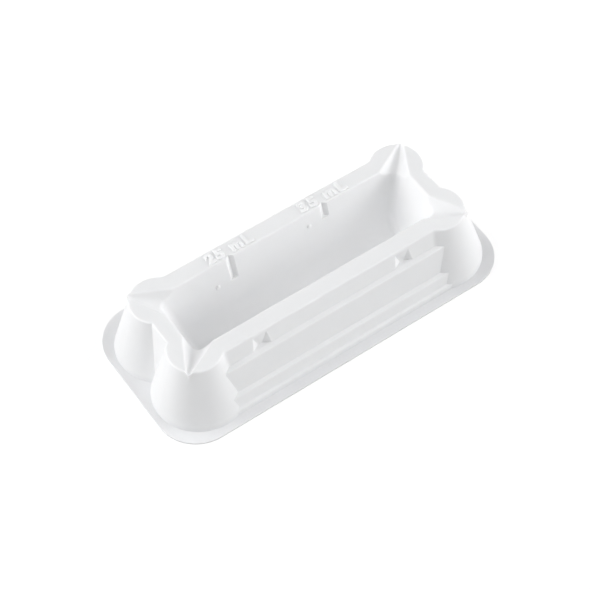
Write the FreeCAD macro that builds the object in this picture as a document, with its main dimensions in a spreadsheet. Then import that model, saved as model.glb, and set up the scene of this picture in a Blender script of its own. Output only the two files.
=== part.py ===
"""Reagent reservoir: one thermoformed polystyrene sheet.

X runs along the trough, Y across it and Z up; the flange rests on Z = 0.
The same feature trees are built twice. "skin" is the outside of the form and
"basin" is the space above the sheet; skin less basin is the upper face. "core"
and "basin_core" are the same forms moved by the sheet thickness and leave the
lower face. Upper less lower face is a single open-bottomed wall of even gauge.
"""
import FreeCAD, Part
import os
import Sketcher

doc = FreeCAD.newDocument("reagent_reservoir")

# ---------------------------------------------------------------- sizes (mm)
SIZES = {
    "gauge": 0.7,              # sheet thickness
    "total_high": 28.0,        # table to rim
    "mouth_long": 109.6,       # trough opening
    "mouth_wide": 27.3,
    "floor_z": 2.7,            # trough floor above the table
    "floor_flat": 0.35,        # half width of the level strip along the floor
    "side_lean": 0.268,        # run over rise of the trough walls
    "end_lean": 0.305,
    "end_round": 3.2,          # trough ends into the floor and the sides
    "rim_side": 6.85,          # level rim beside the opening
    "rim_end": 6.2,
    "end_wall_lean": 0.186,    # outside of the short ends
    "post_inset": 0.7,         # post axis inside the corner of the opening
    "lobe_proud": 2.85,        # post beyond the long edge of the rim
    "post_proud": 0.9,         # post beyond the foot of the long wall
    "top_lean": 0.31,          # long wall from the rim to the first shelf
    "riser_lean": 0.185,       # long wall between and below the shelves
    "shelf_drop": 7.4,         # outer edge of the first shelf below the rim
    "shelf_mid_z": 8.3,
    "shelf_low_z": 2.6,
    "shelf_fall": 0.6,         # slope of each shelf, inner edge over outer
    "tread_high": 1.9,         # width of each shelf
    "tread_mid": 1.6,
    "tread_low": 0.95,
    "flange_end": 2.3,         # flange beyond the foot of the posts
    "flange_side": 3.0,
    "flange_corner": 16.5,
    "nose_proud": 1.0,         # pouring nose beyond the post at the rim
    "nose_half": 4.5,
    "spout_root": 7.5,         # end of the groove inside the trough corner
    "spout_tip_round": 0.6,    # radius of the groove at the nose
    "spout_flare": 0.343,      # radius gained for each mm inwards
    "spout_tilt": 7.0,         # axis of the groove above level, degrees
    "spout_rise": 0.1,         # axis above the rim at the nose
    "lug_x": 31.7,             # nesting lugs under the long rims
    "lug_long": 7.0,
    "lug_foot": 1.6,
    "lug_splay": 1.8,          # how fast the lug widens outwards
    "lug_set": 0.4,            # lug face beyond the edge of the rim
    "mark_half": 1.7,          # graduation grooves, half width and depth
    "mark_deep": 1.3,
    "mark_low_x": -21.7,
    "mark_low_drop": 10.2,     # level of each mark below the rim
    "mark_high_x": 20.4,
    "mark_high_drop": 6.0,
    "pip_gap": 7.6,            # pip beside each graduation groove
    "pip_round": 0.7,
    "pip_sunk": 0.2,
    "rim_blend": 0.8,
    "post_blend": 3.0,         # posts into the long walls under the rim
    "shelf_blend": 0.5,
    "end_lip": 1.7,            # rounding of the opening, ends and sides
    "side_lip": 0.8,
    "spout_lip": 1.0,          # rounding of the edges of the grooves
    "overrun": 2.0,            # how far cutting forms run past what they cut
}
sheet = doc.addObject("Spreadsheet::Sheet", "p")
sheet.Label = "Sizes"
for row, (name, value) in enumerate(SIZES.items(), start=1):
    sheet.set("A%d" % row, name)
    sheet.set("B%d" % row, str(value))
    sheet.setAlias("B%d" % row, name)

# Sizes that follow from the ones above.
DERIVED = {
    "half_long": "=mouth_long / 2",
    "half_wide": "=mouth_wide / 2",
    "trough_deep": "=total_high - floor_z",
    "floor_half_long": "=half_long - end_lean * trough_deep",
    "floor_half_wide": "=half_wide - side_lean * trough_deep",
    "floor_round": "=(floor_half_wide - floor_flat) * (sqrt(1 + side_lean ^ 2) + side_lean)",
    "rim_half": "=half_wide + rim_side",
    "rim_reach": "=half_long + rim_end",
    "end_foot": "=rim_reach + end_wall_lean * total_high",
    "shelf_high_z": "=total_high - shelf_drop",
    "shelf_high_in": "=rim_half + top_lean * (shelf_drop - shelf_fall)",
    "shelf_high_out": "=shelf_high_in + tread_high",
    "shelf_mid_in": "=shelf_high_out + riser_lean * (shelf_high_z - shelf_mid_z - shelf_fall)",
    "shelf_mid_out": "=shelf_mid_in + tread_mid",
    "shelf_low_in": "=shelf_mid_out + riser_lean * (shelf_mid_z - shelf_low_z - shelf_fall)",
    "shelf_low_out": "=shelf_low_in + tread_low",
    "foot_out": "=shelf_low_out + riser_lean * shelf_low_z",
    "post_x": "=half_long - post_inset",
    "post_y": "=half_wide - post_inset",
    "post_top": "=rim_side + post_inset + lobe_proud",
    "post_foot": "=foot_out + post_proud - post_y",
    "post_lean": "=(post_foot - post_top) / total_high",
    "flange_long": "=2 * (post_x + post_foot + flange_end)",
    "flange_wide": "=2 * (post_y + post_foot + flange_side)",
    "nose_reach": "=post_top + nose_proud",
    "spout_reach": "=nose_reach - post_inset * sqrt(2)",
    "mark_low_z": "=total_high - mark_low_drop",
    "mark_high_z": "=total_high - mark_high_drop",
}
for row, (name, formula) in enumerate(DERIVED.items(), start=len(SIZES) + 1):
    sheet.set("A%d" % row, name)
    sheet.set("B%d" % row, formula)
    sheet.setAlias("B%d" % row, name)
doc.recompute()


def fetch(body, role):
    """The body's own origin plane with this role."""
    return next(f for f in body.Origin.OriginFeatures if f.Role == role)


def outline(sketch, corners):
    """Closed outline through corners, each a pair of formulas from the origin."""
    start = [tuple(sketch.evalExpression(c) for c in corner) for corner in corners]
    start = [FreeCAD.Vector(float(x), float(y), 0) for x, y in start]
    count = len(start)
    base = sketch.GeometryCount
    for i in range(count):
        sketch.addGeometry(Part.LineSegment(start[i], start[(i + 1) % count]))
    for i in range(count):
        sketch.addConstraint(Sketcher.Constraint(
            "Coincident", base + i, 2, base + (i + 1) % count, 1))
    for i, corner in enumerate(corners):
        for kind, formula, value in (("DistanceX", corner[0], start[i].x),
                                     ("DistanceY", corner[1], start[i].y)):
            index = sketch.addConstraint(Sketcher.Constraint(
                kind, -1, 1, base + i, 1, value))
            sketch.setExpression("Constraints[%d]" % index, formula)


def draw(body, name, role, corners, offset=("0", "0", "0")):
    """Sketch on an origin plane, moved by formulas along its own axes."""
    sketch = body.newObject("Sketcher::SketchObject", name)
    sketch.AttachmentSupport = [(fetch(body, role), "")]
    sketch.MapMode = "FlatFace"
    for axis, formula in zip("xyz", offset):
        sketch.setExpression("AttachmentOffset.Base." + axis, formula)
    outline(sketch, corners)
    sketch.Visibility = False
    return sketch


def plate(body, name, level):
    """Sketch of the flange's overall rectangle at a level."""
    half_long, half_wide = "p.flange_long / 2", "p.flange_wide / 2"
    return draw(body, name, "XY_Plane",
                [(half_long, half_wide), ("-" + half_long, half_wide),
                 ("-" + half_long, "-" + half_wide), (half_long, "-" + half_wide)],
                offset=("0", "0", level))


def pad(body, name, sketch, length, midplane=False):
    feature = body.newObject("PartDesign::Pad", name)
    feature.Profile = sketch
    feature.setExpression("Length", length)
    feature.SideType = "Symmetric" if midplane else "One side"
    return feature


def cut(body, name, sketch, length):
    feature = body.newObject("PartDesign::Pocket", name)
    feature.Profile = sketch
    feature.setExpression("Length", length)
    return feature


def cut_loft(body, name, first, last):
    feature = body.newObject("PartDesign::SubtractiveLoft", name)
    feature.Profile = first
    feature.Sections = [last]
    feature.Ruled = True
    return feature


def repeat_in_quarters(body, name, feature):
    """Mirror one feature across both middle planes, four copies in all."""
    pattern = body.newObject("PartDesign::MultiTransform", name)
    pattern.Originals = [feature]
    mirrors = []
    for role in ("YZ_Plane", "XZ_Plane"):
        mirror = body.newObject("PartDesign::Mirrored", name + role[0])
        mirror.MirrorPlane = (fetch(body, role), [""])
        mirrors.append(mirror)
    pattern.Transformations = mirrors
    body.Tip = pattern
    return pattern


def middle(edge):
    return edge.valueAt((edge.FirstParameter + edge.LastParameter) / 2)


def blend(body, name, feature, radius, wanted):
    """Round every edge of the feature for which wanted(edge) holds."""
    doc.recompute()
    names = ["Edge%d" % i for i, e in enumerate(feature.Shape.Edges, start=1) if wanted(e)]
    fillet = body.newObject("PartDesign::Fillet", name)
    fillet.Base = (feature, names)
    fillet.setExpression("Radius", radius)
    return fillet


def size(name):
    return float(sheet.get(name))


def at_height(edge, z):
    return all(abs(v.Z - z) < 1e-4 for v in edge.Vertexes)


def form(tag, inset, base):
    """One face of the sheet: the body outside the trough, drawn in by inset."""
    body = doc.addObject("PartDesign::Body", tag)
    body.Label = tag

    def shift(lean):
        # sideways step of a leaning wall whose top is lowered by the inset
        return "%s * (sqrt(1 + p.%s ^ 2) - p.%s)" % (inset, lean, lean)

    riser = shift("riser_lean")
    steps = [("p.foot_out - %s - p.riser_lean * (%s)" % (riser, base), base)]
    for shelf in ("low", "mid", "high"):
        level = "p.shelf_%s_z - %s" % (shelf, inset)
        inner = riser if shelf != "high" else shift("top_lean")
        steps.append(("p.shelf_%s_out - %s" % (shelf, riser), level))
        steps.append(("p.shelf_%s_in - %s" % (shelf, inner), level + " + p.shelf_fall"))
    steps.append(("p.rim_half - " + shift("top_lean"), "p.total_high - " + inset))
    both_sides = steps + [("-(%s)" % y, z) for y, z in reversed(steps)]
    profile = draw(body, tag + "_steps", "YZ_Plane", both_sides)
    pad(body, tag + "_long_walls", profile, "2 * p.post_x", midplane=True)

    reach = "p.rim_reach - " + shift("end_wall_lean")
    foot = "p.end_foot - %s - p.end_wall_lean * (%s)" % (shift("end_wall_lean"), base)
    top = "p.total_high - " + inset
    profile = draw(body, tag + "_ends", "XZ_Plane",
                   [(foot, base), (reach, top), ("-(%s)" % reach, top), ("-(%s)" % foot, base)])
    pad(body, tag + "_short_walls", profile, "2 * p.post_y", midplane=True)

    profile = draw(body, tag + "_post_side", "XZ_Plane",
                   [("0", base),
                    ("p.post_foot - %s - p.post_lean * (%s)" % (shift("post_lean"), base), base),
                    ("p.post_top - " + shift("post_lean"), top),
                    ("0", top)],
                   offset=("p.post_x", "0", "-p.post_y"))
    post = body.newObject("PartDesign::Revolution", tag + "_post")
    post.Profile = profile
    post.ReferenceAxis = (profile, ["V_Axis"])
    repeat_in_quarters(body, tag + "_posts", post)
    return body


def soften(body):
    """Flange, blends and pouring noses of the visible face."""
    flange = pad(body, "flange", plate(body, "flange_outline", "0"), "p.gauge")

    def quarter(edge):
        m = middle(edge)
        return FreeCAD.Vector(abs(m.x), abs(m.y), m.z)

    def corner(edge):
        q = quarter(edge)
        return q.x > size("flange_long") / 2 - 0.01 and q.y > size("flange_wide") / 2 - 0.01

    def post_valley(edge):
        rise = abs(edge.Vertexes[0].Z - edge.Vertexes[-1].Z)
        q = quarter(edge)
        return (rise > 1 and not isinstance(edge.Curve, Part.Line)
                and q.y > size("post_y") and q.z > size("shelf_high_z"))

    def shelf_edge(edge):
        outs = [size(n) for n in ("shelf_high_out", "shelf_mid_out", "shelf_low_out")]
        return (edge.Length > size("post_x")
                and any(abs(quarter(edge).y - out) < 0.01 for out in outs))

    last = flange
    for name, radius, wanted in (
            ("flange_corners", "p.flange_corner", corner),
            ("shelf_edges", "p.shelf_blend", shelf_edge),
            ("post_valleys", "p.post_blend", post_valley),
            ("rim_edge", "p.rim_blend", lambda e: at_height(e, size("total_high")))):
        last = blend(body, name, last, radius, wanted)
    profile = draw(body, "nose_outline", "XY_Plane",
                   [("p.nose_reach", "0"), ("p.post_top - p.overrun", "p.nose_half"),
                    ("p.post_top - p.overrun", "-p.nose_half")],
                   offset=("p.post_x", "p.post_y", "p.total_high"))
    profile.AttachmentOffset = FreeCAD.Placement(
        FreeCAD.Vector(), FreeCAD.Rotation(FreeCAD.Vector(0, 0, 1), 45))
    nose = pad(body, "nose", profile, "p.total_high - p.shelf_high_z")
    nose.Reversed = True
    repeat_in_quarters(body, "noses", nose)


def lugs(body, tag, grow):
    """Recesses under the long rims that keep nested trays from jamming."""
    face = "p.rim_half + p.lug_set - " + grow
    outer = "p.foot_out"
    splay = "(%s - (%s)) * p.lug_splay" % (outer, face)
    sections = []
    for name, level, half in (("top", "p.total_high", "(p.lug_long / 2 + %s)" % grow),
                              ("low", "p.shelf_high_z + p.shelf_fall - " + grow,
                               "(p.lug_foot / 2 + %s)" % grow)):
        sections.append(draw(
            body, "%s_lug_%s" % (tag, name), "XY_Plane",
            [("p.lug_x - %s - %s" % (half, splay), outer), ("p.lug_x - " + half, face),
             ("p.lug_x + " + half, face), ("p.lug_x + %s + %s" % (half, splay), outer)],
            offset=("0", "0", level)))
    lug = cut_loft(body, tag + "_lug", *sections)
    repeat_in_quarters(body, tag + "_lugs", lug)


def basin(tag, grow, end_radius, side_radius=None):
    """The space above the sheet inside the rim, as a solid grown outwards."""
    body = doc.addObject("PartDesign::Body", tag)
    body.Label = tag
    floor = "p.floor_z - " + grow
    peak = "p.total_high + p.overrun"

    def wall(half, lean, level):
        return "p.%s + p.%s * (%s - p.floor_z) + %s * sqrt(1 + p.%s ^ 2)" % (
            half, lean, level, grow, lean)

    low, high = [wall("floor_half_wide", "side_lean", z) for z in (floor, peak)]
    profile = draw(body, tag + "_across", "YZ_Plane",
                   [(low, floor), (high, peak), ("-(%s)" % high, peak), ("-(%s)" % low, floor)])
    pad(body, tag + "_sides", profile, "p.flange_long", midplane=True)
    low, high = [wall("floor_half_long", "end_lean", z) for z in (floor, peak)]
    far = "p.flange_long"
    for side, sign in (("right", ""), ("left", "-")):
        profile = draw(body, "%s_%s_end" % (tag, side), "XZ_Plane",
                       [("%s(%s)" % (sign, x), z) for x, z in (
                           (low, floor), (high, peak), (far, peak), (far, floor))])
        last = cut(body, "%s_%s" % (tag, side), profile, "p.flange_wide")
        last.SideType = "Symmetric"

    top = size("total_high") + size("overrun")
    last = blend(body, tag + "_floor", last, "p.floor_round + " + grow,
                 lambda e: abs(middle(e).x) < 1 and not at_height(e, top))
    last = blend(body, tag + "_ends", last, "p.end_round + " + grow,
                 lambda e: min(abs(v.X) for v in e.Vertexes) > size("floor_half_long") - 0.01
                 and not at_height(e, top))
    spouts(body, tag, grow)
    lid = plate(body, tag + "_lid_outline", "p.total_high - " + grow)
    last = pad(body, tag + "_lid", lid, "p.overrun")
    doc.recompute()
    rim = lid.Placement.Base.z

    def lip(edge, reach, along, across):
        m = middle(edge)
        near = abs(abs(getattr(m, along)) - size(reach)) < size("overrun")
        return at_height(edge, rim) and near and abs(getattr(m, across)) < size("gauge")

    last = blend(body, tag + "_end_lips", last, end_radius,
                 lambda e: lip(e, "half_long", "x", "y"))
    if side_radius:
        last = blend(body, tag + "_side_lips", last, side_radius,
                     lambda e: lip(e, "half_wide", "y", "x"))
        doc.recompute()
        solid = last.Shape

        def spout_edge(edge):
            # where the groove meets anything else, short of its outer end
            conical = [isinstance(face.Surface, Part.Cone)
                       for face in solid.ancestorsOfType(edge, Part.Face)]
            m = middle(edge)
            return (any(conical) and not all(conical) and rim / 2 < m.z < rim + 0.001
                    and abs(m.x) < size("half_long") + size("spout_reach") / 2)

        last = blend(body, tag + "_spout_lips", last, "p.spout_lip", spout_edge)
    marks(body, tag, grow)
    return body


def spouts(body, tag, grow):
    """Conical pouring grooves from the noses down into the trough corners."""
    cone = body.newObject("PartDesign::AdditiveCone", tag + "_spout")
    cone.AttachmentSupport = [(fetch(body, "XY_Plane"), "")]
    cone.MapMode = "FlatFace"
    start = "(p.spout_reach + p.spout_tip_round / 2)"
    cone.setExpression("AttachmentOffset", (
        "placement(vector(p.half_long + %s * sqrt(0.5); p.half_wide + %s * sqrt(0.5); "
        "p.total_high + p.spout_rise); rotation(45; p.spout_tilt - 90; 0))") % (start, start))
    skew = " + %s * sqrt(1 + p.spout_flare ^ 2)" % grow
    cone.setExpression("Radius1", "p.spout_tip_round * (1 - p.spout_flare / 2)" + skew)
    cone.setExpression("Radius2", "p.spout_tip_round + p.spout_flare * "
                       "(p.spout_reach + p.spout_root)" + skew)
    cone.setExpression("Height", start + " + p.spout_root")
    repeat_in_quarters(body, tag + "_spouts", cone)


def marks(body, tag, grow):
    """Graduation grooves of V section, from the rim down the back wall."""
    steep = "(p.mark_deep / p.mark_half)"
    deep = "(p.mark_deep + %s * sqrt((1 + %s ^ 2) * (1 + p.side_lean ^ 2)))" % (grow, steep)
    for name in ("mark_low", "mark_high"):
        sections = []
        for end, level in (("foot", "p.%s_z - %s" % (name, grow)),
                           ("head", "p.total_high + p.overrun / 2")):
            wall = "p.floor_half_wide + p.side_lean * (%s - p.floor_z)" % level
            half = "(%s + p.overrun) / %s" % (deep, steep)
            sections.append(draw(
                body, "%s_%s_%s" % (tag, name, end), "XY_Plane",
                [("p.%s_x - %s" % (name, half), "%s - p.overrun" % wall),
                 ("p.%s_x + %s" % (name, half), "%s - p.overrun" % wall),
                 ("p.%s_x" % name, "%s + %s" % (wall, deep))],
                offset=("0", "0", level)))
        loft = body.newObject("PartDesign::AdditiveLoft", "%s_%s" % (tag, name))
        loft.Profile = sections[0]
        loft.Sections = [sections[1]]
        loft.Ruled = True


def subtract(name, base, tool):
    result = doc.addObject("Part::Cut", name)
    result.Base = base
    result.Tool = tool
    result.Label = name
    return result


skin = form("skin", "0 * p.gauge", "0")
soften(skin)
lugs(skin, "skin", "0 * p.gauge")
core = form("core", "p.gauge", "-p.overrun")
lugs(core, "core", "p.gauge")
space = basin("basin", "0 * p.gauge", "p.end_lip", "p.side_lip")
space_core = basin("basin_core", "p.gauge", "p.end_lip - p.gauge")
upper_face = subtract("upper_face", skin, space)
lower_face = subtract("lower_face", core, space_core)
wall = subtract("sheet_wall", upper_face, lower_face)
doc.recompute()

reservoir = doc.addObject("PartDesign::Body", "reservoir")
reservoir.Label = "reservoir"
reservoir.BaseFeature = wall
for mark in ("low", "high"):
    pip = reservoir.newObject("PartDesign::AdditiveCone", "pip_" + mark)
    pip.AttachmentSupport = [(fetch(reservoir, "XY_Plane"), "")]
    pip.MapMode = "FlatFace"
    pip.AttachmentOffset = FreeCAD.Placement(
        FreeCAD.Vector(), FreeCAD.Rotation(FreeCAD.Vector(1, 0, 0), 90))
    pip.setExpression("Radius1", "p.pip_round")
    pip.setExpression("Radius2", "p.pip_round / 2")
    pip.setExpression("Height", "p.pip_round")
    level = "p.mark_%s_z" % mark
    face = "p.floor_half_wide + p.side_lean * (%s - p.floor_z) + p.pip_sunk" % level
    for axis, formula in (("x", "p.mark_%s_x - p.pip_gap" % mark), ("y", face), ("z", level)):
        pip.setExpression("AttachmentOffset.Base." + axis, formula)
doc.recompute()

for item in doc.Objects:
    if "Invalid" in item.State or "Error" in item.State:
        raise RuntimeError("%s is %s" % (item.Label, item.State))
    # a mirror inside a pattern holds a plane and no shape of its own
    if hasattr(item, "Shape") and item.TypeId != "PartDesign::Mirrored":
        if item.Shape.isNull() or not item.Shape.isValid():
            raise RuntimeError("%s has no sound shape" % item.Label)

os.makedirs("parts", exist_ok=True)
reservoir.Shape.exportStep("parts/reservoir.step")
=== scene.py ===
"""Reagent reservoir: sheet materials with painted shade on the flange and a painted
highlight on the figures and pips, graduation figures and pips, light and camera.

Everything is in metres. X runs along the trough, Y across it and Z up.
"""
import math

import bpy
from mathutils import Matrix, Vector


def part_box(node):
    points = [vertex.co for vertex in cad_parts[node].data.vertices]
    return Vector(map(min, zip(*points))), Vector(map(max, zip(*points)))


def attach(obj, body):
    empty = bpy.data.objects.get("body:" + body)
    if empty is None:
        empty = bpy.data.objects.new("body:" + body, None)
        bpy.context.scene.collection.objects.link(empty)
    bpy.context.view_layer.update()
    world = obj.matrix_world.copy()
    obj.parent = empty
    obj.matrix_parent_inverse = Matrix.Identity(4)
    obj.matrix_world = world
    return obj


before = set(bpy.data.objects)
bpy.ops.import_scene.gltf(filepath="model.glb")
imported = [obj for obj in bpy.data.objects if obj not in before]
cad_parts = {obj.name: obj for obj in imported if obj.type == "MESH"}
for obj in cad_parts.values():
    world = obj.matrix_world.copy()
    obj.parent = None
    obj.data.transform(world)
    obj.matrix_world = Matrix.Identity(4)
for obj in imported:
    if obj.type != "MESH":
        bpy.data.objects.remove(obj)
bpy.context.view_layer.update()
LOW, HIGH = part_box("reservoir")
RIM = HIGH[2]
SCENE = bpy.context.scene

# The flat of the back rim, and the raised figures that stand on it.
RIM_FRONT, RIM_BACK = 0.01450, 0.01990
LETTER_PROUD = 0.0005
LETTER_SIZE = 0.0066
LETTER_SPACING = 1.2
LETTER_BOLD = 0.00002
LETTER_CREASE = 50

# Half sizes of the rounded head over each pip.
DOME = (0.0010, 0.00065, 0.0010)

# Graduation marks: name, words, left and right ends of the figures.
FIGURES = (("figures_low", "25 mL", -0.0300, -0.0098),
           ("figures_high", "35 mL", 0.0117, 0.0329))

# Pips: name, X, Y on the back wall, depth below the rim.
PIPS = (("pip_dome_low", -0.0293, 0.01092, 0.0102),
        ("pip_dome_high", 0.0128, 0.01204, 0.0060))

# Painted shade on the low flange fades out between these heights above the table.
FLANGE_TOP, FADE_END = 0.0009, 0.0030

# Polystyrene: refraction, how far and how much light spreads inside, relief.
PLASTIC_IOR = 1.55
SPREAD_SHARE = 0.4
SPREAD_COLOURS = (1.0, 0.95, 0.9)
SPREAD_DEPTH = 0.003
RELIEF_STRENGTH, RELIEF_HEIGHT = 0.12, 0.0004
PEEL_SHARE = 0.06

# White table: what it sends back, and what it adds for the eye alone.
TABLE_GREY = (0.55, 0.55, 0.55, 1)
TABLE_ROUGHNESS = 0.9
TABLE_LIFT = 0.515
TABLE_SIZE = 6

# Surrounding tent of light, as it lights and as the camera sees it.
TENT_COLOUR = (0.98, 0.985, 1, 1)
TENT_LIGHT, TENT_SEEN = 0.12, 1.0

# Soft lamps: name, azimuth from the camera, elevation, width, strength.
LAMPS = (("left_front_high", -60, 45, 45, 0.46),
         ("left_front_low", -60, 15, 45, 1.16),
         ("left_low", -90, 15, 45, 0.70),
         ("left_back_high", -120, 45, 45, 1.05),
         ("right_high", 90, 45, 45, 0.72),
         ("right_low", 82, 15, 32, 1.56),
         ("right_back_low", 120, 15, 32, 0.64),
         ("top", 0, 88, 45, 0.25))

# Camera: bearing, height and tilt in degrees, distance, lens and shift.
CAMERA_AZIMUTH, CAMERA_ELEVATION, CAMERA_TILT = -32.48, 54.79, -2.59
CAMERA_DISTANCE = 0.70355
CAMERA_SENSOR, CAMERA_LENS = 36, 112.39
CAMERA_SHIFT = (-0.01008, 0.00369)


# ------------------------------------------------------------------ node tools
def group(name, ins, outs):
    """An empty node group with typed sockets; returns the tree and its two ends."""
    tree = bpy.data.node_groups.new(name, "ShaderNodeTree")
    for label, kind in ins:
        tree.interface.new_socket(label, in_out="INPUT", socket_type=kind)
    for label, kind in outs:
        tree.interface.new_socket(label, in_out="OUTPUT", socket_type=kind)
    return tree, tree.nodes.new("NodeGroupInput"), tree.nodes.new("NodeGroupOutput")


def noise(tree, scale, detail=2.0, roughness=0.5):
    """Noise of so many swells to the metre."""
    made = tree.nodes.new("ShaderNodeTexNoise")
    made.inputs["Scale"].default_value = scale
    made.inputs["Detail"].default_value = detail
    made.inputs["Roughness"].default_value = roughness
    return made


def spread(tree, low, high, to_low, to_high):
    """Map a value from one range to another, held at its ends."""
    made = tree.nodes.new("ShaderNodeMapRange")
    for label, value in (("From Min", low), ("From Max", high),
                         ("To Min", to_low), ("To Max", to_high)):
        made.inputs[label].default_value = value
    return made


def sheet_colour():
    """White sheet with faint clouds of tone, and painted shade that greys the low flange.
    """
    tree, ins, outs = group("sheet_colour", [("Walls", "NodeSocketColor"),
                                             ("Flange", "NodeSocketColor")],
                            [("Color", "NodeSocketColor")])
    link = tree.links.new
    place = tree.nodes.new("ShaderNodeTexCoord")
    split = tree.nodes.new("ShaderNodeSeparateXYZ")
    link(place.outputs["Object"], split.inputs[0])
    # Painted shade: full on the low flange, fading out above it.
    flange_shade_mask = spread(tree, LOW[2] + FLANGE_TOP, LOW[2] + FADE_END, 1.0, 0.1)
    link(split.outputs["Z"], flange_shade_mask.inputs["Value"])
    cloud = noise(tree, 55.0, 3.0, 0.55)
    link(place.outputs["Object"], cloud.inputs["Vector"])
    patch = spread(tree, 0.3, 0.7, -0.25, 0.25)
    link(cloud.outputs["Fac"], patch.inputs["Value"])
    total = tree.nodes.new("ShaderNodeMath")
    total.operation = "ADD"
    total.use_clamp = True
    link(flange_shade_mask.outputs["Result"], total.inputs[0])
    link(patch.outputs["Result"], total.inputs[1])
    shade_and_cloud_mix = tree.nodes.new("ShaderNodeMix")
    shade_and_cloud_mix.data_type = "RGBA"
    link(ins.outputs["Walls"], shade_and_cloud_mix.inputs["A"])
    link(ins.outputs["Flange"], shade_and_cloud_mix.inputs["B"])
    link(total.outputs[0], shade_and_cloud_mix.inputs["Factor"])
    link(shade_and_cloud_mix.outputs["Result"], outs.inputs["Color"])
    return tree


def sheet_gloss():
    """Satin gloss that wanders between the polished and the drawn areas."""
    tree, ins, outs = group("sheet_gloss", [("Smooth", "NodeSocketFloat"),
                                            ("Dull", "NodeSocketFloat")],
                            [("Roughness", "NodeSocketFloat")])
    place = tree.nodes.new("ShaderNodeTexCoord")
    patch = noise(tree, 90.0, 4.0, 0.6)
    tree.links.new(place.outputs["Object"], patch.inputs["Vector"])
    level = spread(tree, 0.3, 0.7, 0, 1)
    tree.links.new(patch.outputs["Fac"], level.inputs["Value"])
    tree.links.new(ins.outputs["Smooth"], level.inputs["To Min"])
    tree.links.new(ins.outputs["Dull"], level.inputs["To Max"])
    tree.links.new(level.outputs["Result"], outs.inputs["Roughness"])
    return tree


def sheet_skin():
    """Height of the formed skin: a slow waviness under a fine orange peel."""
    tree, _, outs = group("sheet_skin", [], [("Height", "NodeSocketFloat")])
    link = tree.links.new
    place = tree.nodes.new("ShaderNodeTexCoord")
    wave = noise(tree, 120.0, 1.0)
    peel = noise(tree, 1400.0, 2.0, 0.5)
    for texture in (wave, peel):
        link(place.outputs["Object"], texture.inputs["Vector"])
    fine = tree.nodes.new("ShaderNodeMath")
    fine.operation = "MULTIPLY_ADD"
    fine.inputs[1].default_value = PEEL_SHARE
    link(peel.outputs["Fac"], fine.inputs[0])
    link(wave.outputs["Fac"], fine.inputs[2])
    link(fine.outputs[0], outs.inputs["Height"])
    return tree


# ------------------------------------------------------------------ materials
EFFECTS = {"colour": sheet_colour(), "gloss": sheet_gloss(), "skin": sheet_skin()}


def polystyrene(name, walls, flange, smooth, dull):
    """White high-impact polystyrene sheet that lets a little light through."""
    made = bpy.data.materials.new(name)
    made.use_nodes = True
    tree = made.node_tree
    shader = tree.nodes["Principled BSDF"]
    shader.inputs["IOR"].default_value = PLASTIC_IOR
    shader.inputs["Subsurface Weight"].default_value = SPREAD_SHARE
    shader.inputs["Subsurface Radius"].default_value = SPREAD_COLOURS
    shader.inputs["Subsurface Scale"].default_value = SPREAD_DEPTH
    bump = tree.nodes.new("ShaderNodeBump")
    bump.inputs["Strength"].default_value = RELIEF_STRENGTH
    bump.inputs["Distance"].default_value = RELIEF_HEIGHT
    for effect, values, socket, target in (
            ("colour", {"Walls": walls, "Flange": flange}, "Color",
             shader.inputs["Base Color"]),
            ("gloss", {"Smooth": smooth, "Dull": dull}, "Roughness",
             shader.inputs["Roughness"]),
            ("skin", {}, "Height", bump.inputs["Height"])):
        holder = tree.nodes.new("ShaderNodeGroup")
        holder.node_tree = EFFECTS[effect]
        for label, value in values.items():
            holder.inputs[label].default_value = value
        tree.links.new(holder.outputs[socket], target)
    tree.links.new(bump.outputs["Normal"], shader.inputs["Normal"])
    return made


def table_white():
    """Matt table that the camera and reflections see as plain white."""
    made = bpy.data.materials.new("white_table")
    made.use_nodes = True
    tree = made.node_tree
    link = tree.links.new
    shader = tree.nodes["Principled BSDF"]
    shader.inputs["Base Color"].default_value = TABLE_GREY
    shader.inputs["Roughness"].default_value = TABLE_ROUGHNESS
    shader.inputs["Emission Color"].default_value = (1, 1, 1, 1)
    path = tree.nodes.new("ShaderNodeLightPath")
    seen = tree.nodes.new("ShaderNodeMath")
    seen.operation = "MAXIMUM"
    link(path.outputs["Is Camera Ray"], seen.inputs[0])
    link(path.outputs["Is Glossy Ray"], seen.inputs[1])
    lift = tree.nodes.new("ShaderNodeMath")
    lift.operation = "MULTIPLY"
    lift.inputs[1].default_value = TABLE_LIFT
    link(seen.outputs[0], lift.inputs[0])
    link(lift.outputs[0], shader.inputs["Emission Strength"])
    return made


# ------------------------------------------------------------------ pieces
def corners(piece):
    """Lowest and highest corners of a piece's mesh."""
    spots = [v.co for v in piece.data.vertices]
    return (Vector(min(c[i] for c in spots) for i in range(3)),
            Vector(max(c[i] for c in spots) for i in range(3)))


def settle():
    """Write the selected piece's place, turn and size into its mesh."""
    bpy.ops.object.transform_apply(location=True, rotation=True, scale=True)


def finish_off(piece, highlight_sheet):
    piece.data.materials.append(highlight_sheet)
    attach(piece, "root")


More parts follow.
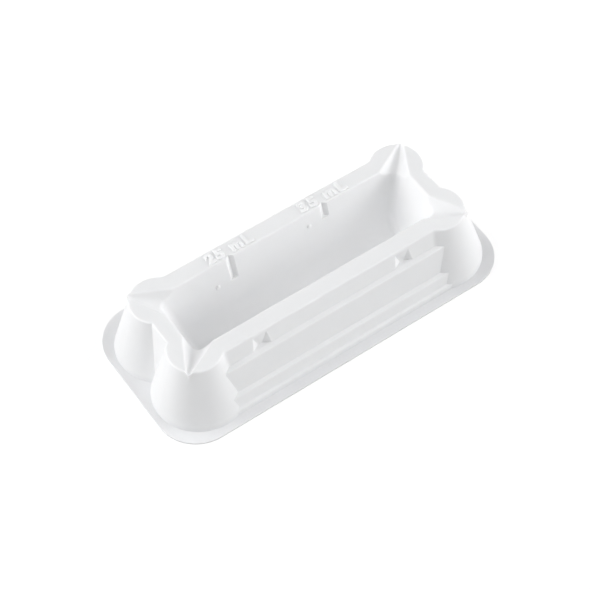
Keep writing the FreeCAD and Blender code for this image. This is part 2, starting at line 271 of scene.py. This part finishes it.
def graduation(name, words, left, right, highlight_sheet):
    """Raised figures on the back rim, read from the front, with rounded strokes."""
    bpy.ops.object.select_all(action="DESELECT")
    bpy.ops.object.text_add(location=(0, 0, 0))
    piece = bpy.context.object
    piece.name = name
    text = piece.data
    text.body = words
    text.size = LETTER_SIZE
    text.space_character = LETTER_SPACING
    text.resolution_u = 4
    text.offset = LETTER_BOLD
    text.bevel_depth = LETTER_PROUD
    text.bevel_resolution = 3
    bpy.ops.object.convert(target="MESH")
    bpy.ops.object.mode_set(mode="EDIT")
    bpy.ops.mesh.select_all(action="SELECT")
    bpy.ops.mesh.remove_doubles(threshold=0.000004)
    bpy.ops.mesh.normals_make_consistent(inside=False)
    bpy.ops.object.mode_set(mode="OBJECT")
    low, high = corners(piece)
    bpy.ops.transform.resize(value=((right - left) / (high.x - low.x),
                                    (RIM_BACK - RIM_FRONT) / (high.y - low.y), 1))
    settle()
    low, high = corners(piece)
    bpy.ops.transform.translate(value=(left - low.x, RIM_FRONT - low.y, RIM))
    settle()
    bpy.ops.object.shade_smooth_by_angle(angle=math.radians(LETTER_CREASE))
    finish_off(piece, highlight_sheet)


def dome(name, x, y, z, highlight_sheet):
    """Rounded head over one pip on the back wall of the trough."""
    bpy.ops.object.select_all(action="DESELECT")
    bpy.ops.mesh.primitive_uv_sphere_add(segments=32, ring_count=16, radius=1,
                                         location=(0, 0, 0))
    piece = bpy.context.object
    piece.name = name
    bpy.ops.transform.resize(value=DOME)
    settle()
    bpy.ops.transform.translate(value=(x, y, z))
    settle()
    bpy.ops.object.shade_smooth()
    finish_off(piece, highlight_sheet)


# ------------------------------------------------------------------ stage
def floor():
    bpy.ops.object.select_all(action="DESELECT")
    bpy.ops.mesh.primitive_plane_add(size=TABLE_SIZE, location=(0, 0, 0))
    plane = bpy.context.object
    plane.name = "floor"
    plane.data.materials.append(table_white())


def outward(turn, rise):
    """Unit vector that points away from the part at this bearing and height."""
    return Vector((math.sin(turn) * math.cos(rise), -math.cos(turn) * math.cos(rise),
                   math.sin(rise)))


def soft_box(name, azimuth, elevation, width, strength):
    """A wide soft lamp far off; azimuth 0 is the camera side, turning to the right."""
    data = bpy.data.lights.new(name, "SUN")
    data.energy = strength
    data.angle = math.radians(width)
    lamp = bpy.data.objects.new(name, data)
    SCENE.collection.objects.link(lamp)
    aim = outward(math.radians(CAMERA_AZIMUTH + azimuth), math.radians(elevation))
    lamp.rotation_euler = aim.to_track_quat("Z", "Y").to_euler()


def light():
    world = bpy.data.worlds.new("tent")
    SCENE.world = world
    world.use_nodes = True
    tree = world.node_tree
    tent = tree.nodes["Background"]
    tent.inputs["Color"].default_value = TENT_COLOUR
    path = tree.nodes.new("ShaderNodeLightPath")
    level = spread(tree, 0, 1, TENT_LIGHT, TENT_SEEN)
    tree.links.new(path.outputs["Is Camera Ray"], level.inputs["Value"])
    tree.links.new(level.outputs["Result"], tent.inputs["Strength"])
    for lamp in LAMPS:
        soft_box(*lamp)


def camera():
    """A long lens from the front left, tilted a little."""
    turn, rise, tilt = (math.radians(v) for v in (CAMERA_AZIMUTH, CAMERA_ELEVATION,
                                                  CAMERA_TILT))
    back = outward(turn, rise)
    right = Vector((math.cos(turn), math.sin(turn), 0))
    up = back.cross(right)
    right, up = (right * math.cos(tilt) + up * math.sin(tilt),
                 up * math.cos(tilt) - right * math.sin(tilt))
    data = bpy.data.cameras.new("camera")
    data.sensor_width = CAMERA_SENSOR
    data.lens = CAMERA_LENS
    data.shift_x, data.shift_y = CAMERA_SHIFT
    view = bpy.data.objects.new("camera", data)
    SCENE.collection.objects.link(view)
    view.matrix_world = (Matrix.Translation(back * CAMERA_DISTANCE)
                         @ Matrix((right, up, back)).transposed().to_4x4())
    SCENE.camera = view


# ------------------------------------------------------------------ build
SCENE.view_settings.view_transform = "Standard"
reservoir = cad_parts["reservoir"]
reservoir.data.materials.clear()
# The first colour is the walls' white; the second greys the low flange as painted shade
# and gives the faint clouds their tone.
reservoir.data.materials.append(polystyrene(
    "white_polystyrene", (0.95, 0.95, 0.954, 1), (0.885, 0.887, 0.897, 1), 0.31, 0.43))
# Whiter copy of the sheet for the figures and pip domes: its colour is a painted
# highlight that makes them read brighter than the rim.
painted_highlight_sheet = polystyrene(
    "white_polystyrene_painted_highlight", (0.98, 0.98, 0.983, 1), (0.97, 0.97, 0.974, 1), 0.30, 0.36)
for name, words, left, right in FIGURES:
    graduation(name, words, left, right, painted_highlight_sheet)
for name, x, y, drop in PIPS:
    dome(name, x, y, RIM - drop, painted_highlight_sheet)
floor()
light()
camera()
